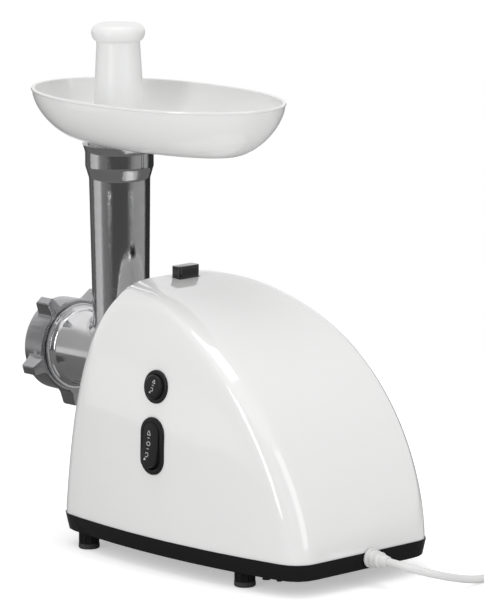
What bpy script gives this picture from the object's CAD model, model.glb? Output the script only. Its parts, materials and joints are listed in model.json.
"""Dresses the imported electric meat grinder: white housing, polished head, food tray, switches and cord."""

from __future__ import annotations

import json
import logging
import math
from dataclasses import dataclass, field
from enum import Enum
from typing import Callable, Iterable, Sequence

import bpy
from mathutils import Matrix, Vector

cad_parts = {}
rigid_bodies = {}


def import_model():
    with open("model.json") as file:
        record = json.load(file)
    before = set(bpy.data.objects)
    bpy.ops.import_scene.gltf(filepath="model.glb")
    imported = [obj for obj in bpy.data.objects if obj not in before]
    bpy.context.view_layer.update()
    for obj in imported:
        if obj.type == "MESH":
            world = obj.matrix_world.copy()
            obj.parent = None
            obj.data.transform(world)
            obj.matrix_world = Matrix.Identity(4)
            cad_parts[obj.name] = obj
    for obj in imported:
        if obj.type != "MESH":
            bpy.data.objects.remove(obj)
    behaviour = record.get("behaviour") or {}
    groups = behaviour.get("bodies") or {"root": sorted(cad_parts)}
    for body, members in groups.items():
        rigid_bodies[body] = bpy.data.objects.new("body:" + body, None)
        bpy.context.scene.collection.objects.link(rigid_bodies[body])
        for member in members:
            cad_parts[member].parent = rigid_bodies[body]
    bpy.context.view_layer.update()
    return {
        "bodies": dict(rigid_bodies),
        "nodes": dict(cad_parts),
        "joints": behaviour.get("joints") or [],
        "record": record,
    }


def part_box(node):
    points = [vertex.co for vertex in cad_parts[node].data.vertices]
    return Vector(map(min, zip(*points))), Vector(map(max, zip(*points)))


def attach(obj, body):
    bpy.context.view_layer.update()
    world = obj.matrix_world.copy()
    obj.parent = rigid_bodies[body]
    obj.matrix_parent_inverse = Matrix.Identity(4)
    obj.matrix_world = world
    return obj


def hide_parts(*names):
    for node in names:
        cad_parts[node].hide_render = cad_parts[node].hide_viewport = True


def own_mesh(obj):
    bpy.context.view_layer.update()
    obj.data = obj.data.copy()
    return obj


LOG = logging.getLogger("grinder")
MM = 0.001
NEAR = 1e-6
FLAT = math.radians(0.6)
Pair = tuple[float, float]
Point = tuple[float, float, float]
Profile = Sequence[Pair]
Ring = list[Vector]
Piece = bpy.types.Object
Tree = bpy.types.NodeTree
Socket = bpy.types.NodeSocket
Sockets = bpy.types.bpy_prop_collection


class Slot(Enum):
    """The record's material slots."""

    WHITE_PLASTIC = "white_plastic"
    TRAY_PLASTIC = "tray_plastic"
    BLACK_PLASTIC = "black_plastic"
    SWITCH_PLASTIC = "switch_plastic"
    INNER_PLASTIC = "inner_plastic"
    CASE_PLASTIC = "case_plastic"
    GEAR_PLASTIC = "gear_plastic"
    FOOT_RUBBER = "foot_rubber"
    CAST_ALUMINIUM = "cast_aluminium"
    STEEL = "steel"
    SCREW_STEEL = "screw_steel"
    BRONZE = "bronze"
    COPPER = "copper"
    IRON = "iron"
    CARBON = "carbon"
    CORD_WHITE = "cord_white"


class Way(Enum):
    """The line that a turned piece is spun about."""

    UP = (0.0, 0.0, 1.0)
    ALONG = (0.0, 1.0, 0.0)


class Origin:
    """The feed tube's axis on the floor, from which the grinder's own sizes are counted in mm."""

    x: float = 0.0
    y: float = 0.0

    @classmethod
    def read(cls) -> None:
        """Takes the axis from the pusher, which is round about it."""
        low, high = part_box("pusher")
        cls.x = (low.x + high.x) / 2
        cls.y = (low.y + high.y) / 2

    @classmethod
    def at(cls, x: float, y: float, z: float) -> Vector:
        """Turns a place in mm from the axis into the frame.

        Args:
            x: mm towards the side with the switches.
            y: mm towards the rear.
            z: mm above the floor.

        Returns:
            The place in the row frame, in metres.
        """
        return Vector((cls.x + x * MM, cls.y + y * MM, z * MM))


class Bench:
    """Blender's operators, called the way a modeller works at the bench."""

    @staticmethod
    def clear() -> None:
        """Leaves edit mode and deselects everything."""
        if bpy.context.mode != "OBJECT":
            bpy.ops.object.mode_set(mode="OBJECT")
        bpy.ops.object.select_all(action="DESELECT")

    @classmethod
    def take(cls, piece: Piece) -> None:
        """Selects one piece and makes it the active one.

        Args:
            piece: the piece.
        """
        cls.clear()
        piece.select_set(True)
        bpy.context.view_layer.objects.active = piece

    @classmethod
    def edit(cls, piece: Piece, kind: str = "VERT", picked: bool = False) -> None:
        """Opens a piece in edit mode.

        Args:
            piece: the piece to open.
            kind: VERT, EDGE or FACE, for what is selected from then on.
            picked: True to select all of it, False for nothing.
        """
        cls.take(piece)
        bpy.ops.object.mode_set(mode="EDIT")
        bpy.ops.mesh.select_mode(type=kind)
        bpy.ops.mesh.select_all(action="SELECT" if picked else "DESELECT")

    @staticmethod
    def leave() -> None:
        """Goes back to object mode."""
        bpy.ops.object.mode_set(mode="OBJECT")

    @classmethod
    def pick(cls, piece: Piece, test: Callable[[Vector], bool]) -> None:
        """Selects the vertices whose place passes a test, and leaves the piece in edit mode.

        Args:
            piece: the piece, in object mode or edit mode.
            test: says for a vertex's place if it is wanted.
        """
        cls.edit(piece)
        cls.leave()
        for vertex in piece.data.vertices:
            vertex.select = test(vertex.co)
        bpy.ops.object.mode_set(mode="EDIT")

    @classmethod
    def tidy(cls, piece: Piece) -> None:
        """Merges doubled vertices and turns all faces outwards.

        Args:
            piece: the piece to tidy.
        """
        cls.edit(piece, picked=True)
        bpy.ops.mesh.remove_doubles(threshold=NEAR)
        bpy.ops.mesh.normals_make_consistent(inside=False)
        cls.leave()

    @classmethod
    def smooth(cls, piece: Piece, degrees: float = 35.0) -> None:
        """Shades a piece smooth, apart from edges sharper than an angle."""
        cls.take(piece)
        bpy.ops.object.shade_smooth_by_angle(angle=math.radians(degrees))

    @classmethod
    def apply_all(cls, piece: Piece) -> None:
        """Applies every modifier of a piece.

        Args:
            piece: the piece.
        """
        cls.take(piece)
        for modifier in list(piece.modifiers):
            bpy.ops.object.modifier_apply(modifier=modifier.name)

    @classmethod
    def turned(cls, name: str, profile: Profile, way: Way, centre: Vector, steps: int) -> Piece:
        """Spins a profile into a round piece.

        Args:
            name: the piece's name.
            profile: pairs of radius and height along the axis, in mm; the last is joined to the first.
            way: the axis.
            centre: a point on the axis, in metres, where height is zero.
            steps: faces round the axis.

        Returns:
            The round piece, closed and tidy.
        """
        axis = Vector(way.value)
        side = Vector((1.0, 0.0, 0.0))
        points = [centre + side * (r * MM) + axis * (h * MM) for r, h in [*profile, profile[0]]]
        cls.clear()
        bpy.ops.mesh.primitive_plane_add(size=MM, location=(0, 0, 0))
        piece = bpy.context.object
        piece.name = name
        cls.edit(piece, picked=True)
        bpy.ops.mesh.merge(type="CENTER")
        bpy.ops.transform.translate(value=points[0])
        for before, after in zip(points, points[1:]):
            bpy.ops.mesh.extrude_region_move(TRANSFORM_OT_translate={"value": after - before})
        bpy.ops.mesh.select_all(action="SELECT")
        bpy.ops.mesh.spin(steps=steps, angle=math.tau, center=centre, axis=axis)
        cls.leave()
        cls.tidy(piece)
        cls.smooth(piece)
        return piece

    @classmethod
    def rod(
        cls, name: str, radius: float, reach: Pair, way: Way, centre: Vector, steps: int
    ) -> Piece:
        """Makes a plain rod with a radius between two heights along its axis, in mm."""
        low, high = reach
        return cls.turned(name, [(0, low), (radius, low), (radius, high), (0, high)], way, centre, steps)

    @classmethod
    def lofted(cls, name: str, rings: Sequence[Ring], capped: bool) -> Piece:
        """Extrudes a circle once for each ring and lays its vertices on the rings.

        Args:
            name: the piece's name.
            rings: closed outlines with as many points each, in metres.
            capped: True to close both ends, False where the last ring lies on the first.

        Returns:
            The lofted piece, closed and tidy.
        """
        count = len(rings[0])
        cls.clear()
        bpy.ops.mesh.primitive_circle_add(
            vertices=count, radius=1.0, fill_type="NOTHING", location=(0, 0, 0))
        piece = bpy.context.object
        piece.name = name
        cls.edit(piece, "EDGE", True)
        for _ in rings[1:]:
            bpy.ops.mesh.extrude_region_move(TRANSFORM_OT_translate={"value": (0, 0, 1)})
        cls.leave()
        for end in (0, len(rings) - 1) if capped else ():
            cls.pick(piece, lambda p, level=end: round(p.z) == level)
            bpy.ops.mesh.edge_face_add()
            bpy.ops.mesh.poke()
            cls.leave()
        for vertex in piece.data.vertices:
            level = round(vertex.co.z)
            if vertex.co.x ** 2 + vertex.co.y ** 2 < 0.25:
                vertex.co = sum(rings[level], Vector()) / count
                continue
            turn = math.atan2(vertex.co.y, vertex.co.x) / math.tau
            vertex.co = rings[level][round(turn * count + count) % count]
        cls.tidy(piece)
        return piece

    @classmethod
    def block(cls, name: str, low: Vector, high: Vector) -> Piece:
        """Makes a plain block between two corners.

        Args:
            name: the piece's name.
            low: its lowest corner, in metres.
            high: its highest corner, in metres.

        Returns:
            The block.
        """
        cls.clear()
        bpy.ops.mesh.primitive_cube_add(size=1.0, location=(0, 0, 0))
        piece = bpy.context.object
        piece.name = name
        cls.edit(piece, picked=True)
        bpy.ops.transform.resize(value=high - low)
        bpy.ops.transform.translate(value=(low + high) / 2)
        cls.leave()
        return piece

    @classmethod
    def from_node(cls, node: str, name: str, soften: float = 0.0, degrees: float = 30.0) -> Piece:
        """Copies a CAD node, merges its triangles and rounds its edges.

        Args:
            node: the CAD node's name.
            name: the new piece's name.
            soften: width of the rounding, in mm, or 0 for none.
            degrees: edges sharper than this are rounded and shaded sharp.

        Returns:
            The copy, which stands for the node.
        """
        source = bpy.data.objects[node]
        piece = source.copy()
        piece.data = source.data.copy()
        piece.name = name
        piece.parent = None
        for key in list(piece.keys()):
            del piece[key]
        bpy.context.scene.collection.objects.link(piece)
        piece.data.materials.clear()
        cls.edit(piece, picked=True)
        bpy.ops.mesh.remove_doubles(threshold=2 * NEAR)
        bpy.ops.mesh.customdata_custom_splitnormals_clear()
        bpy.ops.mesh.dissolve_limited(angle_limit=FLAT)
        cls.leave()
        if soften > 0:
            rounding = piece.modifiers.new("rounding", "BEVEL")
            rounding.width = soften * MM
            rounding.segments = 2
            rounding.limit_method = "ANGLE"
            rounding.angle_limit = math.radians(degrees)
            rounding.harden_normals = False
            cls.apply_all(piece)
        cls.smooth(piece, degrees)
        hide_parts(node)
        return piece

    @classmethod
    def cut(cls, piece: Piece, cutter: Piece) -> None:
        """Takes a cutter's shape out of a piece and throws the cutter away.

        Args:
            piece: the piece that is cut.
            cutter: the shape that is taken out.
        """
        knife = piece.modifiers.new("cut", "BOOLEAN")
        knife.operation = "DIFFERENCE"
        knife.solver = "EXACT"
        knife.object = cutter
        cls.apply_all(piece)
        bpy.data.objects.remove(cutter)

    @classmethod
    def joined(cls, name: str, pieces: Sequence[Piece]) -> Piece:
        """Joins pieces into one object with a name.

        Args:
            name: the joined piece's name.
            pieces: the pieces, of which the first stays.

        Returns:
            The joined piece.
        """
        cls.take(pieces[0])
        for piece in pieces:
            piece.select_set(True)
        bpy.ops.object.join()
        joined = bpy.context.object
        joined.name = name
        return joined


class Nodes:
    """Builds shader node trees in few words."""

    def __init__(self, tree: Tree) -> None:
        """Keeps the tree that nodes are added to."""
        self.tree = tree

    def add(self, kind: str, **settings: object) -> bpy.types.Node:
        """Adds a node and sets its properties.

        Args:
            kind: the node's type name.
            **settings: properties of the node.

        Returns:
            The node.
        """
        node = self.tree.nodes.new(kind)
        for name, value in settings.items():
            setattr(node, name, value)
        return node

    def feed(self, into: Socket, value: object) -> None:
        """Joins a socket to another one, or sets a plain value on it.

        Args:
            into: the socket that is fed.
            value: the socket that it is joined to, or a number or numbers.
        """
        if isinstance(value, Socket):
            self.tree.links.new(value, into)
        else:
            into.default_value = value

    def math(self, operation: str, a: object, b: object, clamp: bool = False) -> Socket:
        """Adds a Math node.

        Args:
            operation: what it works out.
            a: the first socket or number.
            b: the second socket or number.
            clamp: True to keep the result from 0 to 1.

        Returns:
            The result's socket.
        """
        node = self.add("ShaderNodeMath", operation=operation, use_clamp=clamp)
        self.feed(node.inputs[0], a)
        self.feed(node.inputs[1], b)
        return node.outputs[0]

    def noise(self, vector: Socket, scale: object, detail: float) -> Socket:
        """Adds a Noise Texture.

        Args:
            vector: where it is read.
            scale: its scale, a socket or a number.
            detail: its detail.

        Returns:
            Its factor's socket.
        """
        node = self.add("ShaderNodeTexNoise")
        for label, value in (("Vector", vector), ("Scale", scale), ("Detail", detail)):
            self.feed(node.inputs[label], value)
        return node.outputs["Fac"]

    def blend(self, share: object, a: object, b: object) -> Socket:
        """Adds a colour mix.

        Args:
            share: how much of b, a socket or a number.
            a: the first colour, a socket or four numbers.
            b: the second colour.

        Returns:
            The mixed colour's socket.
        """
        node = self.add("ShaderNodeMix", data_type="RGBA")
        for index, value in ((0, share), (6, a), (7, b)):
            self.feed(node.inputs[index], value)
        return node.outputs[2]


class Effects:
    """Shader node groups that several finishes share, each built once."""

    made: dict[str, Tree] = {}
    kinds: dict[int, str] = {1: "NodeSocketFloat", 3: "NodeSocketVector", 4: "NodeSocketColor"}

    @classmethod
    def group(
        cls, name: str, inputs: dict[str, object], fill: Callable[[Nodes, Sockets, Sockets], None]
    ) -> Tree:
        """Makes a node group once and hands it out after that.

        Args:
            name: the group's name.
            inputs: default of each input, which is one number, three numbers or a colour of four.
            fill: builds the inside between the group's inputs and its outputs.

        Returns:
            The group's tree, which puts out Color, Roughness and Normal.
        """
        if name not in cls.made:
            tree = bpy.data.node_groups.new(name, "ShaderNodeTree")
            for label, value in inputs.items():
                kind = cls.kinds[len(value) if isinstance(value, tuple) else 1]
                tree.interface.new_socket(name=label, in_out="INPUT", socket_type=kind).default_value = value
            for label, size in (("Color", 4), ("Roughness", 1), ("Normal", 3)):
                tree.interface.new_socket(name=label, in_out="OUTPUT", socket_type=cls.kinds[size])
            nodes = Nodes(tree)
            fill(nodes, nodes.add("NodeGroupInput").outputs, nodes.add("NodeGroupOutput").inputs)
            cls.made[name] = tree
        return cls.made[name]

    @staticmethod
    def surface(
        nodes: Nodes, source: Sockets, result: Sockets, looks: Sequence[Socket], distance: float
    ) -> None:
        """Joins up what every group puts out: mixed colour, swinging roughness and a bump.

        Args:
            nodes: the group's tree.
            source: the group's inputs.
            result: the group's outputs.
            looks: share of the shade in the colour, swing of the roughness, and height of the bump.
            distance: the bump's distance, in metres.
        """
        share, swing, height = looks
        nodes.feed(result["Color"], nodes.blend(share, source["Colour"], source["Shade"]))
        swung = nodes.math("MULTIPLY", swing, source["Swing"])
        nodes.feed(result["Roughness"], nodes.math("ADD", swung, source["Roughness"], True))
        bump = nodes.add("ShaderNodeBump")
        for label, value in (("Distance", distance), ("Strength", source["Depth"]), ("Height", height)):
            nodes.feed(bump.inputs[label], value)
        nodes.feed(result["Normal"], bump.outputs["Normal"])

    @classmethod
    def moulded(cls) -> Tree:
        """Moulded plastic: slight shade drift, handled patches in the gloss, and a fine skin.

        Returns:
            The group.
        """

        def fill(nodes: Nodes, source: Sockets, result: Sockets) -> None:
            """Builds the group's inside.

            Args:
                nodes: the group's tree.
                source: the group's inputs.
                result: the group's outputs.
            """
            place = nodes.add("ShaderNodeTexCoord").outputs["Object"]
            drift = nodes.math("MULTIPLY", nodes.noise(place, source["Drift Scale"], 2.0), source["Drift"])
            patches = nodes.math("SUBTRACT", nodes.noise(place, source["Patch Scale"], 4.0), 0.5)
            skin = nodes.noise(place, source["Skin Scale"], 3.0)
            cls.surface(nodes, source, result, (drift, patches, skin), 0.0002)

        return cls.group("moulded_skin", {
            "Colour": (0.8, 0.8, 0.8, 1), "Shade": (0.7, 0.7, 0.7, 1), "Drift": 0.5, "Drift Scale": 9.0,
            "Patch Scale": 42.0, "Roughness": 0.2, "Swing": 0.05, "Skin Scale": 900.0, "Depth": 0.1}, fill)

    @classmethod
    def worked(cls) -> Tree:
        """Worked metal: fine tool lines across one direction, cloudy polish and a little tarnish.

        Returns:
            The group.
        """

        def fill(nodes: Nodes, source: Sockets, result: Sockets) -> None:
            """Builds the group's inside.

            Args:
                nodes: the group's tree.
                source: the group's inputs.
                result: the group's outputs.
            """
            place = nodes.add("ShaderNodeTexCoord").outputs["Object"]
            stretch = nodes.add("ShaderNodeVectorMath", operation="MULTIPLY")
            nodes.feed(stretch.inputs[0], place)
            nodes.feed(stretch.inputs[1], source["Lines"])
            lines = nodes.noise(stretch.outputs[0], 1.0, 4.0)
            cloud = nodes.noise(place, source["Cloud Scale"], 5.0)
            tarnish = nodes.math("MULTIPLY", cloud, source["Tarnish"], True)
            swing = nodes.math("ADD", nodes.math("MULTIPLY", nodes.math("SUBTRACT", lines, 0.5), 0.6),
                               nodes.math("SUBTRACT", cloud, 0.5))
            height = nodes.math("ADD", lines, nodes.math("MULTIPLY", cloud, 0.8))
            cls.surface(nodes, source, result, (tarnish, swing, height), 0.0003)

        return cls.group("worked_metal", {
            "Colour": (0.6, 0.6, 0.6, 1), "Shade": (0.4, 0.4, 0.4, 1), "Tarnish": 0.5, "Roughness": 0.2,
            "Swing": 0.1, "Lines": (60.0, 60.0, 2500.0), "Cloud Scale": 90.0, "Depth": 0.1}, fill)


@dataclass(frozen=True)
class Finish:
    """What every finish has: two colours that drift into one another, and a roughness that swings."""

    name: str
    colour: tuple[float, float, float]
    shade: tuple[float, float, float]
    roughness: float

    def parts(self) -> tuple[Tree, dict[str, object], dict[str, float]]:
        """The finish's node group, the values of the group's own inputs, and those of the shader."""
        raise NotImplementedError

    def material(self) -> bpy.types.Material:
        """The finish as a Blender material, made once.

        Returns:
            The material.
        """
        found = bpy.data.materials.get(self.name)
        if found:
            return found
        made = bpy.data.materials.new(self.name)
        made.use_nodes = True
        nodes = Nodes(made.node_tree)
        shader = made.node_tree.nodes["Principled BSDF"]
        tree, values, settings = self.parts()
        effect = nodes.add("ShaderNodeGroup", node_tree=tree)
        values |= {"Colour": (*self.colour, 1), "Shade": (*self.shade, 1), "Roughness": self.roughness}
        for label, value in values.items():
            effect.inputs[label].default_value = value
        for out, into in (("Color", "Base Color"), ("Roughness", "Roughness"), ("Normal", "Normal")):
            nodes.feed(shader.inputs[into], effect.outputs[out])
        for label, value in settings.items():
            shader.inputs[label].default_value = value
        return made


@dataclass(frozen=True)
class Plastic(Finish):
    """A moulded plastic or rubber finish."""

    swing: float = 0.04
    depth: float = 0.08
    coat: float = 0.0
    specular: float = 0.5
    under: float = 0.0

    def parts(self) -> tuple[Tree, dict[str, object], dict[str, float]]:
        """Moulded skin, with a clear coat and light from under the surface where they are set.

        Returns:
            The group, its values and the shader's.
        """
        return Effects.moulded(), {"Swing": self.swing, "Depth": self.depth}, {
            "Coat Weight": self.coat, "Coat Roughness": 0.04, "Specular IOR Level": self.specular,
            "Subsurface Weight": self.under, "Subsurface Scale": 0.004}


@dataclass(frozen=True)
class Metal(Finish):
    """A polished, brushed or turned metal finish."""

    lines: tuple[float, float, float] = (60.0, 60.0, 2500.0)
    swing: float = 0.1
    depth: float = 0.08

    def parts(self) -> tuple[Tree, dict[str, object], dict[str, float]]:
        """Worked metal with its tool lines."""
        values = {"Swing": self.swing, "Lines": self.lines, "Depth": self.depth}
        return Effects.worked(), values, {"Metallic": 1.0}


SHELL_WHITE = Plastic("glossy_white_shell", (0.825, 0.825, 0.82), (0.795, 0.795, 0.79), 0.1, 0.03, coat=0.8)
TRAY_WHITE = Plastic("tray_white", (0.82, 0.82, 0.815), (0.79, 0.79, 0.785), 0.14, 0.04, coat=0.4)
PUSHER_WHITE = Plastic("pusher_white", (0.86, 0.86, 0.855), (0.82, 0.82, 0.815), 0.3, 0.07, under=0.05)
BASE_BLACK = Plastic("base_black", (0.0125, 0.0125, 0.0135), (0.016, 0.016, 0.017), 0.16, 0.05,
                     specular=0.07)
LOCK_BLACK = Plastic("lock_black", (0.005, 0.005, 0.006), (0.008, 0.008, 0.009), 0.12, 0.04, specular=0.4,
                     coat=0.35)
SWITCH_BLACK = Plastic("switch_black", (0.012, 0.012, 0.013), (0.018, 0.018, 0.019), 0.34, 0.08, 0.2,
                       specular=0.28)
MARK_GREY = Plastic("mark_grey", (0.62, 0.62, 0.62), (0.52, 0.52, 0.52), 0.5)
INNER_GREY = Plastic("inner_grey", (0.09, 0.095, 0.1), (0.07, 0.075, 0.08), 0.5, 0.08, depth=0.2)
CASE_GREY = Plastic("case_grey", (0.32, 0.325, 0.33), (0.27, 0.275, 0.28), 0.55, 0.08, depth=0.25)
GEAR_IVORY = Plastic("gear_ivory", (0.72, 0.68, 0.58), (0.66, 0.61, 0.5), 0.35, 0.06)
FOOT_RUBBER = Plastic("foot_rubber", (0.016, 0.016, 0.016), (0.024, 0.024, 0.024), 0.6, 0.1, depth=0.35)
CARBON = Plastic("pressed_carbon", (0.015, 0.015, 0.015), (0.03, 0.03, 0.03), 0.5, 0.1, depth=0.4)
CORD_SHEATH = Plastic("cord_sheath", (0.74, 0.74, 0.735), (0.68, 0.68, 0.675), 0.42, 0.08, depth=0.15)
TUBE_METAL = Metal("polished_tube", (0.66, 0.66, 0.67), (0.45, 0.45, 0.46), 0.1, (900.0, 900.0, 260.0),
                   0.06, 0.22)
BARREL_METAL = Metal("turned_barrel", (0.75, 0.75, 0.76), (0.56, 0.56, 0.57), 0.13,
                     (60.0, 1400.0, 60.0))
NUT_METAL = Metal("cast_nut", (0.42, 0.42, 0.43), (0.29, 0.29, 0.3), 0.24, (60.0, 900.0, 60.0), 0.12)
PLATE_STEEL = Metal("ground_steel", (0.5, 0.5, 0.51), (0.36, 0.36, 0.37), 0.28, (900.0, 60.0, 60.0))
SCREW_STEEL = Metal("zinc_screw", (0.55, 0.55, 0.56), (0.4, 0.4, 0.42), 0.3)
DARK_STEEL = Metal("blackened_screw", (0.035, 0.035, 0.037), (0.02, 0.02, 0.021), 0.4)
BRONZE = Metal("sintered_bronze", (0.42, 0.26, 0.12), (0.3, 0.18, 0.08), 0.42, depth=0.3)
COPPER = Metal("enamelled_copper", (0.5, 0.2, 0.09), (0.38, 0.14, 0.06), 0.3, (40.0, 1500.0, 40.0),
               depth=0.4)
IRON = Metal("sheet_iron", (0.2, 0.2, 0.21), (0.12, 0.12, 0.13), 0.45, (30.0, 2500.0, 30.0), depth=0.4)

FINISHES: dict[Slot, Finish] = dict(zip(Slot, (
    SHELL_WHITE, TRAY_WHITE, BASE_BLACK, SWITCH_BLACK, INNER_GREY, CASE_GREY, GEAR_IVORY, FOOT_RUBBER,
    BARREL_METAL, PLATE_STEEL, SCREW_STEEL, BRONZE, COPPER, IRON, CARBON, CORD_SHEATH), strict=True))


def hand_over(piece: Piece, body: str, finish: Finish) -> Piece:
    """Gives a piece its finish and the body that it moves with.

    Args:
        piece: the finished piece.
        body: the CAD body's name.
        finish: the finish, which becomes its only material.

    Returns:
        The piece.
    """
    if piece.type == "MESH":
        piece.data.materials.clear()
    piece.data.materials.append(finish.material())
    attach(piece, body)
    LOG.info("piece %s rides on %s", piece.name, body)
    return piece


def rise(t: float, foot: float, top: float) -> float:
    """Share of the full size that is left at a share t of the height."""
    return max(0.0, 1.0 - t ** foot) ** (1.0 / top)


@dataclass
class Housing:
    """The glossy white shell with its openings, and the black base under it."""

    half_width: float = 86.0
    front: float = 4.0
    rear: float = 286.0
    crest: float = 65.0
    band_top: float = 26.3
    top: float = 220.0
    bulge: float = 13.0
    corner: float = 19.0
    wall: float = 2.6
    rings: int = 60
    crowding: float = 1.7
    crest_share: float = 0.9995
    corner_points: int = 9
    side_points: int = 16
    side_rise: Pair = (3.6, 4.4)
    front_rise: Pair = (1.28, 1.47)
    rear_rise: Pair = (1.77, 1.91)
    socket_height: float = 145.0
    socket_radius: float = 34.3
    socket_reach: Pair = (-20.0, 70.0)
    notch_place: Point = (-3.0, 0.0, 21.7)
    notch_radius: float = 5.2
    notch_reach: Pair = (270.0, 290.0)
    slot_low: Point = (-11.5, 73.15, 200.0)
    slot_high: Point = (11.5, 84.25, 224.0)
    round_seat: tuple[float, float, float, float] = (133.2, 148.3, 26.6, 26.6)
    rocker_seat: tuple[float, float, float, float] = (132.0, 100.9, 46.0, 26.5)
    seat_play: float = 0.3
    seat_rim: float = 4.0

    def sizes(self, t: float) -> tuple[float, float, float, float]:
        """Sizes of the outline at a share of the height.

        Args:
            t: share of the housing's height.

        Returns:
            Half width, bulge, front and rear, in mm.
        """
        side = rise(t, *self.side_rise)
        front = self.crest - (self.crest - self.front) * rise(t, *self.front_rise)
        rear = self.crest + (self.rear - self.crest) * rise(t, *self.rear_rise)
        share = (rear - front) / (self.rear - self.front)
        return self.half_width * side, self.bulge * side * share ** 2, front, rear

    def side_x(self, y: float, z: float) -> float:
        """Place of the side's surface across, at a place along and above, in mm."""
        width, bulge, front, rear = self.sizes((z - self.band_top) / (self.top - self.band_top))
        return width - bulge * ((y - (front + rear) / 2) / ((rear - front) / 2)) ** 2

    def lean(self, y: float, z: float) -> float:
        """Lean of the side's surface away from upright, in radians."""
        return math.atan((self.side_x(y, z - 6) - self.side_x(y, z + 6)) / 12)

    def outline(self, t: float, inset: float, z: float) -> Ring:
        """Closed outline at a share of the height.

        Args:
            t: share of the housing's height.
            inset: how far it is drawn in, in mm.
            z: height at which it lies, in mm.

        Returns:
            The outline's points in the frame, from the front on the switch side round to the other side.
        """
        width, bulge, front, rear = self.sizes(t)
        width -= inset
        front += inset
        rear -= inset
        cut = min(self.corner, 0.45 * min(width, (rear - front) / 2))
        middle = (front + rear) / 2
        half = (rear - front) / 2
        end = width - bulge

        def side(y: float) -> Pair:
            """Point on the bowed side."""
            return width - bulge * ((y - middle) / half) ** 2, y

        def bend(*corner: Pair) -> list[tuple[float, ...]]:
            """Rounds a corner.

            Args:
                *corner: where it starts, the sharp corner, and where it ends.

            Returns:
                The points in between.
            """
            steps = [(i + 1) / (self.corner_points + 1) for i in range(self.corner_points)]
            return [tuple((1 - u) ** 2 * p + 2 * u * (1 - u) * q + u * u * r for p, q, r in zip(*corner))
                    for u in steps]

        flat = [share * (end - cut) for share in (0.35, 0.75, 1.0)]
        span = rear - front - 2 * cut
        right = [(x, front) for x in flat]
        right += bend((end - cut, front), (end, front), side(front + cut))
        right += [side(front + cut + span * i / self.side_points) for i in range(self.side_points + 1)]
        right += bend(side(rear - cut), (end, rear), (end - cut, rear))
        right += [(x, rear) for x in reversed(flat)]
        left = [(-x, y) for x, y in reversed(right)]
        return [Origin.at(x, y, z) for x, y in right + left]

    def rows(self, inset: float, last: float) -> list[Ring]:
        """Outlines from the band to the crest, closer together towards the top.

        Args:
            inset: how far they are drawn in, in mm.
            last: share of the height at which they end.

        Returns:
            The outlines, lowest first.
        """
        height = self.top - self.band_top - inset
        shares = [1 - (1 - last * i / self.rings) ** self.crowding for i in range(self.rings + 1)]
        return [self.outline(t, inset, self.band_top + t * height) for t in shares]

    def side_frame(self, y: float, z: float) -> Matrix:
        """Frame on the switch side, in mm: its Z points out of the surface and its X points down.

        Args:
            y: place along, in mm.
            z: height, in mm.

        Returns:
            The frame's matrix.
        """
        turn = Matrix.Rotation(math.pi / 2 - self.lean(y, z), 4, "Y")
        return Matrix.Translation((self.side_x(y, z), y, z)) @ turn

    def seat(
        self, name: str, frame: Matrix, sizes: Pair, reach: Pair
    ) -> Piece:
        """Rod with a stadium section, to be cut out for a switch.

        Args:
            name: the rod's name.
            frame: the frame that it stands in, in mm.
            sizes: length along the frame's X, and width of the section, in mm.
            reach: where it starts and ends along the frame's Z, in mm.

        Returns:
            The rod.
        """
        long, wide = sizes
        section = []
        for i in range(64):
            angle = math.tau * (i + 0.5) / 64
            shift = math.copysign((long - wide) / 2, math.cos(angle))
            section.append((shift + wide / 2 * math.cos(angle), wide / 2 * math.sin(angle)))
        rings = [[Origin.at(*(frame @ Vector((x, y, level)))) for x, y in section] for level in reach]
        return Bench.lofted(name, rings, True)

    def openings(self) -> list[Piece]:
        """Everything that is cut out of the shell: socket, lock's slot, switch seats and the cord's notch.

        Returns:
            The cutters.
        """
        mouth, exit_place = Origin.at(0, 0, self.socket_height), Origin.at(*self.notch_place)
        socket = Bench.rod("socket_hole", self.socket_radius, self.socket_reach, Way.ALONG, mouth, 96)
        notch = Bench.rod("cord_notch", self.notch_radius, self.notch_reach, Way.ALONG, exit_place, 32)
        slot = Bench.block("lock_slot", Origin.at(*self.slot_low), Origin.at(*self.slot_high))
        cutters = [socket, notch, slot]
        cuts = (("switch_seat", self.seat_play, (-0.8, 10)), ("switch_hole", -self.seat_rim, (-15, 5)))
        for y, z, *sizes in (self.round_seat, self.rocker_seat):
            frame = self.side_frame(y, z)
            for name, change, reach in cuts:
                cutters.append(self.seat(name, frame, tuple(size + change for size in sizes), reach))
        return cutters

    def shell(self) -> Piece:
        """Models the shell with its wall and openings.

        Returns:
            The shell.
        """
        outer = self.rows(0.0, self.crest_share)
        shell = Bench.lofted("housing_shell", outer, True)
        bottom = outer[0][0].z
        Bench.edit(shell, "FACE")
        Bench.leave()
        for face in shell.data.polygons:
            face.select = all(abs(shell.data.vertices[v].co.z - bottom) < NEAR for v in face.vertices)
        bpy.ops.object.mode_set(mode="EDIT")
        bpy.ops.mesh.delete(type="FACE")
        Bench.leave()
        wall = shell.modifiers.new("wall", "SOLIDIFY")
        wall.thickness = self.wall * MM
        wall.offset = -1.0
        Bench.apply_all(shell)
        for cutter in self.openings():
            Bench.cut(shell, cutter)
        Bench.smooth(shell, 30)
        return shell

    def build(self) -> None:
        """Makes the shell and the base."""
        shell = self.shell()
        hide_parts("housing")
        hand_over(shell, "base", SHELL_WHITE)
        base = Bench.from_node("base_pan", "base_shell", 0.0, 28)
        hand_over(base, "base", BASE_BLACK)


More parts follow.
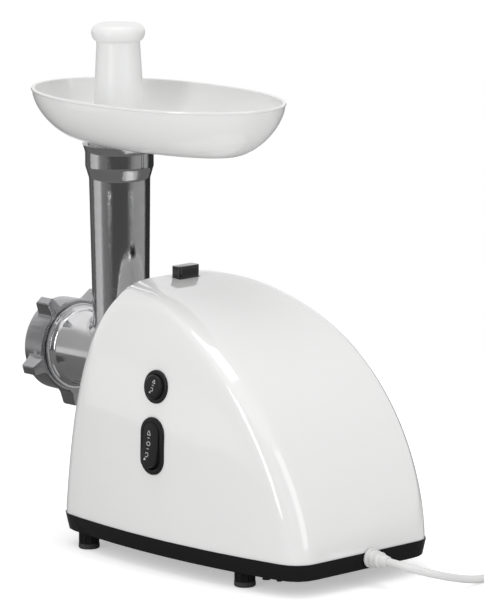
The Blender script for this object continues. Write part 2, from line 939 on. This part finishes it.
@dataclass
class FoodSide:
    """The oval tray with its neck, and the pusher."""

    rim: float = 364.4
    depth: float = 42.5
    wall: float = 2.2
    length: float = 254.5
    width: float = 147.5
    floor_length: float = 174.0
    floor_width: float = 65.0
    middle: float = 46.4
    neck: float = 25.3
    neck_bore: float = 22.6
    neck_low: float = 299.0
    swell_rise: Pair = (1.6, 1.66)
    squareness: float = 2.1
    points: int = 96

    def oval(self, u: float, inset: float, z: float) -> Ring:
        """Oval outline at a share u of the depth.

        Args:
            u: share of the depth, 0 at the underside and 1 at the rim.
            inset: how far it is drawn in, in mm.
            z: height at which it lies, in mm.

        Returns:
            The outline's points in the frame.
        """
        swell = rise(1 - u, *self.swell_rise)
        power = 2 / self.squareness
        half_length = self.floor_length / 2 + (self.length - self.floor_length) / 2 * swell - inset
        half_width = self.floor_width / 2 + (self.width - self.floor_width) / 2 * swell - inset
        ring = []
        for i in range(self.points):
            angle = math.tau * i / self.points
            c, s = math.cos(angle), math.sin(angle)
            ring.append(Origin.at(half_width * math.copysign(abs(c) ** power, c),
                                  self.middle + half_length * math.copysign(abs(s) ** power, s), z))
        return ring

    def circle(self, radius: float, z: float) -> Ring:
        """Round outline about the feed tube's axis."""
        turns = [math.tau * i / self.points for i in range(self.points)]
        return [Origin.at(radius * math.cos(a), radius * math.sin(a), z) for a in turns]

    def tray(self) -> Piece:
        """Models the tray: up the neck, out under the floor, up the wall, over the lip and back down inside.

        Returns:
            The tray.
        """
        low = self.rim - self.depth
        floor = low + self.wall
        shares = [(i / 16) ** 1.5 for i in range(17)]
        outside = [self.oval(u, 1.0 - 0.2 * u, low + u * (self.depth - 2.4)) for u in shares]
        deep = self.depth - self.wall - 0.5
        inside = [self.oval(u, 1.0 + self.wall, floor + u * deep) for u in reversed(shares)]
        edge = ((0.25, 2.1), (0.0, 1.6), (0.0, 0.7), (0.35, 0.15), (0.9, 0.0), (1.9, 0.0), (2.6, 0.2))
        lip = [self.oval(1, inset, self.rim - drop) for inset, drop in edge]
        neck = ((self.neck_bore, self.neck_low), (self.neck, self.neck_low), (self.neck, low - 1.5),
                (self.neck + 0.5, low - 0.4), (self.neck + 1.6, low))
        bore = ((self.neck_bore + 0.8, floor), (self.neck_bore, floor - 0.6),
                (self.neck_bore, self.neck_low))
        rings = [*(self.circle(*place) for place in neck), *outside, *lip, *inside,
                 *(self.circle(*place) for place in bore)]
        return Bench.lofted("tray_bowl", rings, False)

    @staticmethod
    def turns(start: float, end: float, steps: int) -> list[float]:
        """Angles from start to end, given in degrees and handed out in radians."""
        return [math.radians(start + (end - start) * i / steps) for i in range(steps + 1)]

    def pusher(self) -> Piece:
        """Turns the pusher: knob, waisted grip, shoulder and hollow plunger.

        Returns:
            The pusher.
        """
        under = [(16.8 + 5 * math.cos(a), 410.4 + 6.9 * math.sin(a)) for a in self.turns(-78, 0, 10)]
        over = [(15.8 + 6 * math.cos(a), 410.4 + 7 * math.sin(a)) for a in self.turns(0, 86, 11)]
        knob = [(17.75, 401.8), (17.78, 402.7), (17.8, 403.3), *under, *over,
                (12.5, 417.65), (8.7, 417.9), (0.0, 418.0)]
        hollow = [(0.0, 415.0), (11.0, 414.1), (14.2, 402.6), (16.2, 370.0), (18.0, 326.0), (18.0, 184.0)]
        foot = [(18.6, 183.1), (20.2, 183.1), (21.0, 184.0), (21.0, 323.6), (21.6, 324.3), (24.5, 324.3),
                (25.0, 324.9), (25.0, 326.4), (24.4, 327.0), (22.4, 327.4), (21.9, 328.4), (20.9, 345.0),
                (19.8, 364.0), (18.9, 380.0), (18.1, 394.0), (17.75, 400.6)]
        return Bench.turned("pusher_body", foot + knob + hollow, Way.UP, Origin.at(0, 0, 0), 96)

    def build(self) -> None:
        """Makes the tray and the pusher."""
        tray = self.tray()
        Bench.smooth(tray, 40)
        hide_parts("food_tray")
        hand_over(tray, "tray", TRAY_WHITE)
        pusher = self.pusher()
        Bench.smooth(pusher, 40)
        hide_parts("pusher")
        hand_over(pusher, "pusher", PUSHER_WHITE)


@dataclass
class MetalHead:
    """The cast head with its feed tube and cuff, and the ring nut."""

    axis: float = 145.0
    barrel_radius: float = 30.5
    wall_middle: float = 28.4
    tube_radius: float = 23.3
    bore: float = 21.5
    throat: float = 21.6
    shaft_low: float = 183.5
    shaft_length: float = 107.8
    widening: float = 1.7
    foot_width: float = 5.2
    foot_height: float = 8.0
    tail_start: float = 27.9
    key_radius: float = 1.9
    key_drop: float = 27.6
    key_reach: Pair = (-73.3, -67.9)
    points: int = 96

    def barrel(self) -> Piece:
        """Turns the barrel with its thread, step rings and shoulder, and bores it for the feed tube.

        Returns:
            The barrel up to the socket's mouth.
        """
        profile = [(26.0, -69.0), (27.0, -69.0), (27.0, -73.2), (27.3, -73.5), (31.4, -73.5), (32.0, -72.9),
                   (32.0, -54.0), (35.2, -54.0), (35.5, -53.7), (35.5, -51.9), (35.2, -51.6), (33.7, -51.4),
                   (33.4, -51.1), (33.3, -50.3), (32.4, -49.6), (31.4, -48.8), (30.8, -47.6), (30.5, -46.2),
                   (30.5, -20.0), (30.5, 0.0), (30.5, 21.8), (30.7, 22.4), (32.2, 23.5), (32.5, 24.0),
                   (32.5, 27.5), (32.2, 27.8), (26.9, 27.8), (26.9, 28.4), (10.55, 28.4), (10.55, 23.0),
                   (26.0, 23.0)]
        middle = Origin.at(0, 0, self.axis)
        barrel = Bench.turned("head_casting", profile, Way.ALONG, middle, self.points)
        way_in = Bench.rod("throat_hole", self.throat, (0, 60), Way.UP, middle, self.points)
        Bench.cut(barrel, way_in)
        return barrel

    def ring(self, height: Callable[[float], Pair]) -> Ring:
        """Ring about the feed tube's axis.

        Args:
            height: gives radius and height, in mm, for the cosine of the angle from the X axis.

        Returns:
            The ring's points in the frame.
        """
        points = []
        for i in range(self.points):
            angle = math.tau * i / self.points
            radius, level = height(math.cos(angle))
            points.append(Origin.at(radius * math.cos(angle), radius * math.sin(angle), level))
        return points

    def on_barrel(self, radius: float, size: float, cosine: float) -> float:
        """Height of a lying cylinder of a size, above a point at a radius from the tube's axis."""
        return self.axis + math.sqrt(size ** 2 - (radius * cosine) ** 2)

    def tube(self) -> Piece:
        """Lofts the feed tube: rounded foot on the barrel, shaft, cuff with its lip, and bore.

        Returns:
            The tube.
        """
        foot_radius = self.tube_radius + self.foot_width

        def bedded(radius: float) -> Callable[[float], Pair]:
            """Ring inside the barrel's wall."""
            return lambda c: (radius, self.on_barrel(radius, self.wall_middle, c))

        def rounded(share: float) -> Callable[[float], Pair]:
            """Ring of the rounded foot.

            Args:
                share: the share of the height.

            Returns:
                The ring's radius and height, for a cosine.
            """

            def spot(c: float) -> Pair:
                """Point of the ring.

                Args:
                    c: cosine of the angle from the X axis.

                Returns:
                    Radius and height, in mm.
                """
                low = self.on_barrel(foot_radius, self.barrel_radius, c)
                knee = self.on_barrel(self.tube_radius, self.barrel_radius, c)
                a, b, d = (1 - share) ** 2, 2 * share * (1 - share), share ** 2
                return (a * foot_radius + (b + d) * self.tube_radius,
                        a * low + b * knee + d * (knee + self.foot_height))

            return spot

        def level(radius: float, height: float) -> Callable[[float], Pair]:
            """Flat round ring."""
            return lambda c: (radius, height)

        def sunk(c: float) -> Pair:
            """Ring just under the barrel's surface, round the foot."""
            return foot_radius + 0.1, self.on_barrel(foot_radius, self.barrel_radius - 1.2, c)

        levels = (188, 205, 225, 245, 265, 282, 290.6)
        shaft = [(self.tube_radius + self.widening * (z - self.shaft_low) / self.shaft_length, z)
                 for z in levels]
        cuff = [(25.1, 291.8), (25.35, 292.8), (25.8, 294.2), (27.5, 300.1), (27.9, 301.4), (28.0, 302.6),
                (28.0, 312.6), (28.15, 313.7), (28.6, 315.3), (29.5, 318.0), (29.95, 319.1), (30.25, 319.55),
                (30.1, 319.8), (26.0, 319.8), (25.6, 319.4), (25.6, 299.0), (25.4, 298.8), (22.0, 298.8),
                (21.5, 298.3), (21.5, 240)]
        heights = [bedded(self.bore), bedded(self.bore + 3), sunk, *(rounded(i / 8) for i in range(9)),
                   *(level(r, z) for r, z in shaft + cuff), bedded(self.bore)]
        return Bench.lofted("feed_tube", [self.ring(height) for height in heights], False)

    def tail(self) -> Piece:
        """Keeps the CAD's tail with its lugs, from the socket's mouth to the rear.

        Returns:
            The tail.
        """
        tail = Bench.from_node("grinder_head", "head_tail", 0.0, 30)
        Bench.edit(tail, picked=True)
        start = Origin.at(0, self.tail_start, self.axis)
        bpy.ops.mesh.bisect(plane_co=start, plane_no=(0, 1, 0), use_fill=True, clear_inner=True)
        Bench.leave()
        return tail

    def build(self) -> None:
        """Makes the head and the nut."""
        seat = Origin.at(0, 0, self.axis - self.key_drop)
        key = Bench.rod("plate_key", self.key_radius, self.key_reach, Way.ALONG, seat, 24)
        head = Bench.joined("head_casting", [self.barrel(), self.tail(), key])
        Bench.smooth(head, 32)
        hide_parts("grinder_head")
        hand_over(head, "head", BARREL_METAL)
        tube = self.tube()
        Bench.smooth(tube, 32)
        hand_over(tube, "head", TUBE_METAL)
        nut = Bench.from_node("ring_nut", "nut_casting", 0.5, 30)
        hand_over(nut, "ring_nut", NUT_METAL)


@dataclass
class Signs:
    """Small printed signs on a key: plain strokes, bars and an arrow head, laid on the key's face."""

    name: str
    frame: Matrix
    face: Callable[[float, float], float]
    turn: float = 0.0
    shift: float = 0.0
    stroke: float = 0.48
    sunk: float = -0.06
    raised: float = 0.08
    made: list[Piece] = field(default_factory=list)

    def put(self, x: float, y: float, lift: float) -> Vector:
        """Place in the frame of a point on the key's face.

        Args:
            x: mm down the face.
            y: mm across the face.
            lift: mm out of the face.

        Returns:
            The place, in metres.
        """
        c, s = math.cos(self.turn), math.sin(self.turn)
        along, across = x * c - y * s, x * s + y * c + self.shift
        return Origin.at(*(self.frame @ Vector((along, across, self.face(along, across) + lift))))

    def line(self, points: Profile, closed: bool) -> None:
        """Lays a stroke of even width along points.

        Args:
            points: the stroke's middle line, in mm on the key's face.
            closed: True where the stroke runs back to its start.
        """
        count = len(points)
        corners = ((1, self.sunk), (-1, self.sunk), (-1, self.raised), (1, self.raised))
        rings = []
        for i, (x, y) in enumerate(points):
            before = points[i - 1] if closed or i > 0 else points[i]
            after = points[(i + 1) % count] if closed or i < count - 1 else points[i]
            way = Vector((after[0] - before[0], after[1] - before[1])).normalized()
            edge = Vector((-way.y, way.x)) * self.stroke / 2
            rings.append([self.put(x + side * edge.x, y + side * edge.y, lift) for side, lift in corners])
        if closed:
            rings.append(rings[0])
        self.made.append(Bench.lofted(self.name, rings, not closed))

    def solid(self, points: Profile) -> None:
        """Lays a filled sign with the outline given."""
        rings = [[self.put(x, y, lift) for x, y in points] for lift in (self.sunk, self.raised)]
        self.made.append(Bench.lofted(self.name, rings, True))

    def triangle(self, x: float, size: float) -> None:
        """Lays an open triangle that points up.

        Args:
            x: mm down the face to its middle.
            size: its height, in mm.
        """
        tip, foot = x - 0.55 * size, x + 0.45 * size
        corners = [Vector((tip, 0)), Vector((foot, 0.55 * size)), Vector((foot, -0.55 * size))]
        points = []
        for i, corner in enumerate(corners):
            after = corners[(i + 1) % 3]
            points += [tuple(corner.lerp(after, share)) for share in (0.08, 0.5, 0.92)]
        self.line(points, True)

    def bar(self, x: float, size: float) -> None:
        """Lays a short bar across."""
        self.line([(x, -size / 2), (x, size / 2)], False)

    def ring(self, x: float, high: float, wide: float) -> None:
        """Lays a ring."""
        angles = [math.tau * i / 28 for i in range(28)]
        self.line([(x + high / 2 * math.cos(a), wide / 2 * math.sin(a)) for a in angles], True)

    def arrow(self, x: float, size: float) -> None:
        """Lays an open ring that ends in an arrow head.

        Args:
            x: mm down the face to its middle.
            size: its width, in mm.
        """
        angles = [math.radians(-65 + 290 * i / 24) for i in range(25)]
        self.line([(x - size / 2 * math.cos(a), size / 2 * math.sin(a)) for a in angles], False)
        low = x + size
        tip = (low + 0.12 * size, 0.02)
        self.solid([(low - 0.32 * size, -0.5 * size), (low + 0.3 * size, -0.72 * size), tip])

    def finish(self, body: str) -> None:
        """Joins the signs into one print that moves with its key."""
        print_piece = Bench.joined(self.name, self.made)
        hand_over(print_piece, body, MARK_GREY)


@dataclass
class Controls:
    """The two switches with their signs, and the lock button."""

    housing: Housing = field(default_factory=Housing)
    dish_height: float = 5.1
    dish_radius: float = 5.28
    wire: float = 0.9
    spring_turns: int = 7
    travel: float = 5.0

    def round_signs(self) -> None:
        """Prints the signs on the round key, which sits a little turned."""

        def face(x: float, y: float) -> float:
            """Height of the round key's slightly hollow face.

            Args:
                x: mm down the face.
                y: mm across the face.

            Returns:
                The height, in mm.
            """
            radius = math.hypot(x, y)
            hollow = 0.2 * max(0.0, 1 - radius / self.dish_radius)
            return self.dish_height - hollow - 0.09 * max(0.0, radius - self.dish_radius)

        frame = self.housing.side_frame(*self.housing.round_seat[:2])
        signs = Signs("round_signs", frame, face, math.radians(-18), 0.9, 0.44)
        signs.triangle(-4.7, 2.9)
        signs.bar(-1.3, 2.0)
        signs.arrow(2.2, 2.8)
        signs.finish("round_button")

    def rocker_signs(self) -> None:
        """Prints the signs on the rocker's hollow face."""
        tilted = Matrix.Translation((0, 0, -3)) @ Matrix.Rotation(math.radians(-8), 4, "Y")
        frame = self.housing.side_frame(*self.housing.rocker_seat[:2]) @ tilted
        signs = Signs("rocker_signs", frame, lambda x, y: 5.9 + 1.7 * abs(x) / 18.2, 0.0, -2.0)
        signs.triangle(-9.6, 3.6)
        signs.bar(-5.6, 2.4)
        signs.ring(-1.1, 3.0, 3.8)
        signs.bar(3.0, 2.4)
        signs.arrow(7.8, 3.5)
        signs.finish("rocker_key")

    def spring(self) -> None:
        """Winds the lock's return spring, which is pressed together as the lock goes down."""
        low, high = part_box("lock_spring")
        middle = (Vector(low) + Vector(high)) / 2
        thick = self.wire / 2 * MM
        radius = (high[0] - low[0]) / 2 - thick
        foot, head = low[2] + thick, high[2] - thick
        round_wire = [math.tau * j / 8 for j in range(8)]
        section = [(math.cos(a) * thick, math.sin(a) * thick) for a in round_wire]
        rings = []
        steps = self.spring_turns * 20
        for i in range(steps + 1):
            angle = math.tau * i / 20
            share = min(1.0, max(0.0, (i - 16) / (steps - 32)))
            spoke = Vector((math.cos(angle), math.sin(angle), 0))
            at = Vector((middle.x, middle.y, foot + (head - foot) * share)) + spoke * radius
            rings.append([at + spoke * out + Vector((0, 0, up)) for out, up in section])
        coil = Bench.lofted("lock_coil", rings, True)
        Bench.smooth(coil, 50)
        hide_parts("lock_spring")
        hand_over(coil, "base", SCREW_STEEL)
        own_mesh(coil)

    def build(self) -> None:
        """Makes the bezels, keys, signs and the lock's cap."""
        for node, name, body, soften in (
            ("round_bezel", "round_rim", "base", 0.35),
            ("rocker_bezel", "rocker_rim", "base", 0.35),
            ("round_button", "round_key", "round_button", 0.35),
            ("rocker_key", "rocker_paddle", "rocker_key", 0.6),
            ("lock_button", "lock_cap", "lock", 0.6),
        ):
            piece = Bench.from_node(node, name, soften, 30)
            hand_over(piece, body, LOCK_BLACK if body == "lock" else SWITCH_BLACK)
        self.round_signs()
        self.rocker_signs()
        self.spring()


@dataclass
class PowerCord:
    """The mains cord from the strain relief to its coil and plug."""

    diameter: float = 6.4
    coil_centre: Pair = (-212.0, 303.3)
    coil_radius: float = 42.0
    pitch: float = 7.0
    turns: float = 4.25
    low: float = 3.3
    tie_angle: float = -40.0
    tie_inner: float = 26.8
    tie_outer: float = 41.1
    tie_top: float = 13.6
    tie_foot: float = 0.1
    tie_bend: float = 3.6
    tie_thick: float = 0.8
    tie_wide: float = 8.0
    route: Sequence[Point] = (
        (-3, 307.3, 21.7), (-3, 315.3, 21.5), (-4.7, 325.1, 20.3), (-10.1, 334.6, 18.2),
        (-18.5, 341.6, 15.3), (-28.9, 345.0, 12.2), (-40.9, 345.2, 8.9), (-53.9, 344.7, 5.8),
        (-67.9, 343.9, 3.7), (-82.9, 342.8, 3.3), (-99.9, 341.8, 3.3), (-117.9, 341.3, 3.3),
        (-135.9, 341.7, 3.3), (-153.9, 342.7, 3.3), (-171.9, 344.0, 3.3), (-188.9, 344.9, 3.3),
        (-205.6, 345.3, 3.3))
    tail: Sequence[Point] = (
        (-254, 296.9, 10.3), (-254, 285.3, 10.5), (-254, 273.3, 11.2), (-254, 261.3, 12.1),
        (-254, 249.3, 12.5))

    def coil(self) -> list[Point]:
        """Winds the coil: in below, up in the middle turn, and out above.

        Returns:
            The coil's points, in mm.
        """
        points = []
        steps = 36
        half = self.turns / 2
        for i in range(int(steps * self.turns) + 1):
            u = i / steps
            angle = math.radians(90) + math.tau * u
            radius = self.coil_radius - self.pitch * min(u, self.turns - u)
            s = min(1.0, max(0.0, (u - half + 0.25) / 0.5))
            points.append((self.coil_centre[0] + radius * math.cos(angle),
                           self.coil_centre[1] + radius * math.sin(angle),
                           self.low + self.pitch * s * s * (3 - 2 * s)))
        return points

    def strap(self) -> Piece:
        """Wraps the tie closely over the coil's four cords, where the CAD's tie stands.

        Returns:
            The tie, handed over.
        """
        around = math.radians(self.tie_angle)
        spoke = Vector((math.cos(around), math.sin(around), 0))
        along = Vector((-spoke.y, spoke.x, 0))
        half = self.tie_thick / 2
        inner, outer = self.tie_inner - half, self.tie_outer + half
        top, bend = self.tie_top + half, self.tie_bend
        path = [(inner, self.tie_foot, -1.0, 0.0)]
        for middle, start in ((inner + bend, 180), (outer - bend, 90)):
            for k in range(7):
                turn = math.radians(start - 15 * k)
                out, up = math.cos(turn), math.sin(turn)
                path.append((middle + bend * out, top - bend + bend * up, out, up))
        path.append((outer, self.tie_foot, 1.0, 0.0))
        wide, soft = self.tie_wide / 2, self.tie_thick / 4
        outline = ((wide, -half + soft), (wide, half - soft), (wide - soft, half), (-wide + soft, half),
                   (-wide, half - soft), (-wide, -half + soft), (-wide + soft, -half), (wide - soft, -half))
        rings = []
        for r, z, out, up in path:
            at = Vector((*self.coil_centre, z)) + spoke * r
            away = spoke * out + Vector((0, 0, up))
            rings.append([Origin.at(*(at + along * a + away * n)) for a, n in outline])
        strap = Bench.lofted("cord_strap", rings, True)
        Bench.smooth(strap, 40)
        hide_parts("cord_tie")
        return hand_over(strap, "base", INNER_GREY)

    def line(self) -> list[Vector]:
        """Smooths the cord's whole route between the route's points.

        Returns:
            The route's points in the frame.
        """
        knots = [Vector(p) for p in (*self.route, *self.coil(), *self.tail)]
        smooth = []
        for i in range(len(knots) - 1):
            a, b = knots[max(i - 1, 0)], knots[i]
            c, d = knots[i + 1], knots[min(i + 2, len(knots) - 1)]
            steps = 6 if (c - b).length > 10 else 2
            for k in range(steps):
                t = k / steps
                smooth.append(0.5 * (2 * b + (c - a) * t + (2 * a - 5 * b + 4 * c - d) * t * t
                                     + (3 * b - a - 3 * c + d) * t ** 3))
        smooth.append(knots[-1])
        return [Origin.at(*p) for p in smooth]

    def build(self) -> None:
        """Lays the cord and dresses what is on it."""
        line = self.line()
        curve = bpy.data.curves.new("mains_lead", "CURVE")
        curve.dimensions = "3D"
        curve.bevel_depth = self.diameter / 2 * MM
        curve.bevel_resolution = 5
        curve.use_fill_caps = True
        spline = curve.splines.new("POLY")
        spline.points.add(len(line) - 1)
        for point, place in zip(spline.points, line):
            point.co = (*place, 1.0)
        spline.use_smooth = True
        lead = bpy.data.objects.new("mains_lead", curve)
        bpy.context.scene.collection.objects.link(lead)
        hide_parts("mains_cord", "cord_coil", "cord_tail")
        hand_over(lead, "base", CORD_SHEATH)
        relief = Bench.from_node("strain_relief", "relief_sleeve", 0.25, 30)
        hand_over(relief, "base", CORD_SHEATH)
        plug = Bench.from_node("plug_body", "plug_shell", 1.0, 30)
        hand_over(plug, "base", CORD_SHEATH)
        self.strap()


@dataclass
class CarriedOver:
    """The CAD nodes that stay, each dressed in its slot's finish."""

    frame: dict[str, object] = field(default_factory=dict)

    def dress(self) -> None:
        """Gives every shown CAD node the finish of its material slot."""
        slots = {row["node"]: row["material_slot"] for row in self.frame["record"]["subparts"]}
        for name, node in self.frame["nodes"].items():
            if node.hide_render:
                continue
            finish = DARK_STEEL if name == "base_screws" else FINISHES[Slot(slots[name])]
            node.data.materials.clear()
            node.data.materials.append(finish.material())
            LOG.info("node %s wears %s", name, finish.name)


@dataclass
class Studio:
    """Camera, pale floor and soft lamps."""

    azimuth: float = 137.0
    elevation: float = 10.371
    roll: float = -0.357
    distance: float = 4119.744
    right_shift: float = -97.731
    up_shift: float = -182.936
    focal_pixels: float = 5000.0
    long_side: float = 610.0
    sensor: float = 36.0
    even_light: float = 0.64
    far: float = 50.0
    aim: Point = (0.0, 0.0, 0.18)
    horizon: Pair = (0.02, 12.0)
    zenith: Pair = (-0.62, 6.0)
    floor_radius: float = 0.85
    floor_grey: float = 0.86
    floor_glow: float = 0.42
    mirrored_grey: float = 0.09
    mirrored_glow: float = 0.08
    strip_distance: float = 1.7
    strip_height: float = 0.7
    low_panels: Profile = (
        (-180, 0.95), (-173, 0.95), (-169, 0.06), (-150, 0.1), (-128, 0.18), (-118, 0.08), (-112, 0.62),
        (-80, 0.74), (-70, 0.28), (-48, 0.2), (-36, 0.12), (-28, 0.09), (28, 0.09), (36, 0.14), (48, 0.3),
        (60, 0.38), (108, 0.44), (116, 0.04), (169, 0.04), (173, 0.95), (180, 0.95))
    high_panels: Profile = (
        (-180, 0.95), (-122, 0.9), (-106, 0.45), (-84, 0.42), (-56, 0.36), (-30, 0.2), (30, 0.2), (56, 0.4),
        (110, 0.8), (130, 0.95), (180, 0.95))

    def camera(self) -> None:
        """Sets the camera where the photograph was taken from."""
        a, e, r = (math.radians(v) for v in (self.azimuth, self.elevation, self.roll))
        right = Vector((math.cos(a), math.sin(a), 0))
        back = Vector((math.sin(a) * math.cos(e), -math.cos(a) * math.cos(e), math.sin(e)))
        up = back.cross(right)
        right, up = right * math.cos(r) + up * math.sin(r), up * math.cos(r) - right * math.sin(r)
        eye = back * self.distance - right * self.right_shift - up * self.up_shift
        data = bpy.data.cameras.new("photo_camera")
        data.sensor_fit = "AUTO"
        data.sensor_width = self.sensor
        data.lens = self.focal_pixels * self.sensor / self.long_side
        data.clip_end = self.far
        camera = bpy.data.objects.new("photo_camera", data)
        turn = Matrix((right, up, back)).transposed().to_4x4()
        camera.matrix_world = Matrix.Translation(Origin.at(*eye)) @ turn
        bpy.context.scene.collection.objects.link(camera)
        bpy.context.scene.camera = camera

    def floor(self) -> None:
        """Lays a round sheet of pale paper: it is seen white and keeps the shadow."""
        Bench.clear()
        bpy.ops.mesh.primitive_circle_add(
            vertices=96, radius=self.floor_radius, fill_type="NGON", location=(0, 0, -0.0002))
        floor = bpy.context.object
        floor.name = "studio_floor"
        made = bpy.data.materials.new("floor_paper")
        made.use_nodes = True
        nodes = Nodes(made.node_tree)
        shader = made.node_tree.nodes["Principled BSDF"]
        shader.inputs["Roughness"].default_value = 0.9
        shader.inputs["Emission Color"].default_value = (1, 1, 1, 1)
        path = nodes.add("ShaderNodeLightPath").outputs
        seen = nodes.math("MULTIPLY", path["Is Camera Ray"], self.floor_glow)
        mirrored = nodes.math("MULTIPLY", path["Is Glossy Ray"], self.mirrored_glow)
        nodes.feed(shader.inputs["Emission Strength"], nodes.math("ADD", seen, mirrored))
        greys = [(grey, grey, grey, 1) for grey in (self.floor_grey, self.mirrored_grey)]
        nodes.feed(shader.inputs["Base Color"], nodes.blend(path["Is Glossy Ray"], *greys))
        floor.data.materials.append(made)

    def lamp(self, name: str, place: Point, wide: float, high: float, power: float) -> None:
        """Adds a soft lamp that looks at the grinder's middle.

        Args:
            name: the lamp's name.
            place: where it hangs, in metres.
            wide: its width, in metres.
            high: its height, in metres.
            power: its power, in watts.
        """
        data = bpy.data.lights.new(name, "AREA")
        data.shape = "RECTANGLE"
        data.size = wide
        data.size_y = high
        data.energy = power
        lamp = bpy.data.objects.new(name, data)
        lamp.location = place
        aim = Vector(self.aim) - Vector(place)
        lamp.rotation_mode = "QUATERNION"
        lamp.rotation_quaternion = aim.to_track_quat("-Z", "Y")
        lamp.visible_camera = False
        bpy.context.scene.collection.objects.link(lamp)

    def beside(self, degrees: float) -> Point:
        """A strip lamp's place at an angle from the camera's side, positive towards the picture's right."""
        back = math.radians(self.azimuth - 90 + degrees)
        return self.strip_distance * math.cos(back), self.strip_distance * math.sin(back), self.strip_height

    @staticmethod
    def ramp(nodes: Nodes, share: Socket, stops: Profile) -> Socket:
        """Adds a grey ramp over the angle round the grinder.

        Args:
            nodes: the tree.
            share: the angle as a share of a turn, 0.5 towards the camera.
            stops: pairs of degrees from the camera's side and grey.

        Returns:
            The ramp's colour.
        """
        ramp = nodes.add("ShaderNodeValToRGB")
        places = ramp.color_ramp.elements
        for index, (degrees, grey) in enumerate(stops):
            stop = places[index] if index < 2 else places.new(1.0)
            stop.position = degrees / 360 + 0.5
            stop.color = (grey, grey, grey, 1)
        nodes.feed(ramp.inputs["Fac"], share)
        return ramp.outputs["Color"]

    def world(self) -> None:
        """Makes the surround: white where it is seen, even where it lights, panels and gaps in mirrors."""
        world = bpy.data.worlds.new("studio_world")
        bpy.context.scene.world = world
        world.use_nodes = True
        nodes = Nodes(world.node_tree)
        background = world.node_tree.nodes["Background"]
        path = nodes.add("ShaderNodeLightPath").outputs
        way = nodes.add("ShaderNodeTexCoord").outputs["Generated"]
        parts = []
        front = math.radians(self.azimuth - 90)
        c, s = math.cos(front), math.sin(front)
        for axis in ((c, s, 0), (-s, c, 0), (0, 0, 1)):
            dot = nodes.add("ShaderNodeVectorMath", operation="DOT_PRODUCT")
            nodes.feed(dot.inputs[0], way)
            nodes.feed(dot.inputs[1], axis)
            parts.append(dot.outputs["Value"])
        angle = nodes.math("ARCTAN2", parts[1], parts[0])
        share = nodes.math("ADD", nodes.math("DIVIDE", angle, math.tau), 0.5)
        low = self.ramp(nodes, share, self.low_panels)
        high = self.ramp(nodes, share, self.high_panels)
        rising, topmost = (nodes.math("MULTIPLY", nodes.math("ADD", parts[2], shift), steepness, True)
                           for shift, steepness in (self.horizon, self.zenith))
        panels = nodes.blend(topmost, nodes.blend(rising, low, high), (1.0, 1.0, 1.0, 1))
        seen = nodes.math("MAXIMUM", path["Is Camera Ray"], path["Is Transmission Ray"])
        even = (self.even_light, self.even_light, self.even_light, 1)
        glossy = nodes.blend(path["Is Glossy Ray"], even, panels)
        nodes.feed(background.inputs["Color"], nodes.blend(seen, glossy, (1, 1, 1, 1)))

    def build(self) -> None:
        """Makes the studio."""
        self.camera()
        self.floor()
        self.world()
        self.lamp("left_strip", self.beside(-41), 0.4, 1.5, 8.0)
        self.lamp("right_strip", self.beside(44), 0.8, 1.5, 6.4)
        self.lamp("top_lamp", (0.0, 0.0, 2.2), 1.2, 1.2, 9.5)
        bpy.context.scene.view_settings.view_transform = "Standard"


def main() -> None:
    """Builds the studio, then each sub-assembly, and reports each piece."""
    logging.basicConfig(level=logging.INFO, format="%(message)s")
    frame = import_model()
    Origin.read()
    Studio().build()
    PowerCord().build()
    Housing().build()
    FoodSide().build()
    MetalHead().build()
    Controls().build()
    CarriedOver(frame).dress()
    Bench.clear()


if __name__ == "__main__":
    main()
